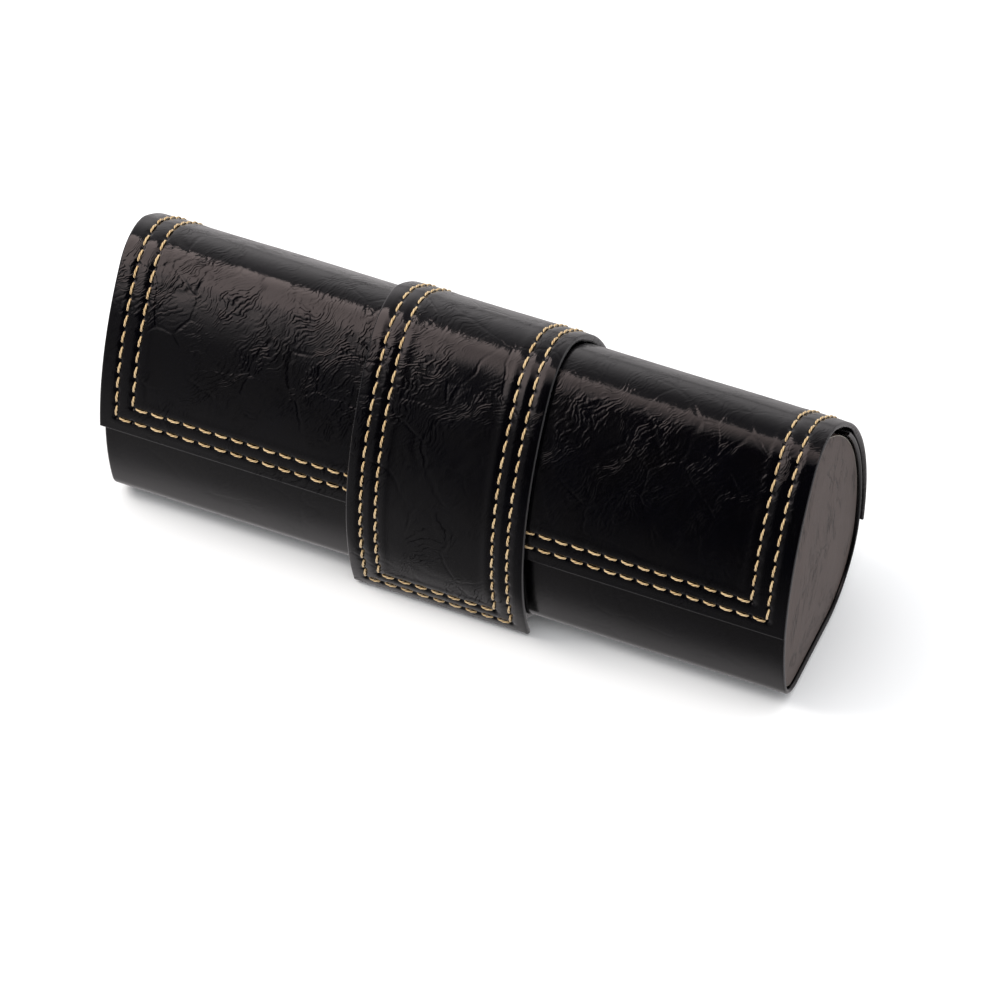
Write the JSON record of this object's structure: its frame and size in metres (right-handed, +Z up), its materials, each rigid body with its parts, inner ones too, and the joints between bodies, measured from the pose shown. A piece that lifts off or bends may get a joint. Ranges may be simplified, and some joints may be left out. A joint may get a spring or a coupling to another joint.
{
  "type": "eyewear case",
  "caption": "Long hard case of arched section for folded eyewear, with a trough, a wide flap lid hinged high at the back and a magnetic wrap-round strap, all covered in stitched leatherette.",
  "frame": {"origin": "on the surface that the case rests on, under the middle of its bounding box", "axes": "+X along the case, -Y to the front where it opens, +Z up"},
  "size_m": [0.164, 0.055, 0.0722],
  "materials": {
    "greyboard": "matte",
    "black_leatherette": "glossy crinkled",
    "plain_leatherette": "satin",
    "microfibre_lining": "matte",
    "cream_thread": "satin",
    "bare_magnet": "nickel plated",
    "plain_steel": "bare"
  },
  "bodies": {
    "case": {"trough_board": "greyboard", "trough_cover": "black_leatherette", "trough_lining": "microfibre_lining", "left_end_board": "greyboard", "left_end_cover": "plain_leatherette", "left_end_lining": "microfibre_lining", "right_end_board": "greyboard", "right_end_cover": "plain_leatherette", "right_end_lining": "microfibre_lining", "flap_tail_board": "greyboard", "flap_tail_cover": "black_leatherette", "flap_tail_stitching": "cream_thread", "strap_tail_board": "greyboard", "strap_tail_cover": "black_leatherette", "strap_tail_stitching": "cream_thread", "strike_plate": "plain_steel"},
    "flap": {"flap_board": "greyboard", "flap_cover": "black_leatherette", "flap_lining": "microfibre_lining", "flap_outer_stitching": "cream_thread", "flap_inner_stitching": "cream_thread", "strap_root_board": "greyboard", "strap_root_cover": "black_leatherette", "strap_root_stitching": "cream_thread"},
    "strap": {"strap_board": "greyboard", "strap_cover": "black_leatherette", "strap_lining": "microfibre_lining", "strap_magnet": "bare_magnet", "strap_outer_stitching": "cream_thread", "strap_inner_stitching": "cream_thread"}
  },
  "joints": [
    {"name": "flap_hinge", "type": "hinge", "parent": "case", "child": "flap", "pos_m": [0, 0.01656, 0.05426], "axis": [-1, 0, 0], "range_deg": [0, 120]},
    {"name": "strap_hinge", "type": "hinge", "parent": "flap", "child": "strap", "pos_m": [0, 0.00665, 0.06539], "axis": [-1, 0, 0], "range_deg": [0, 90]}
  ]
}
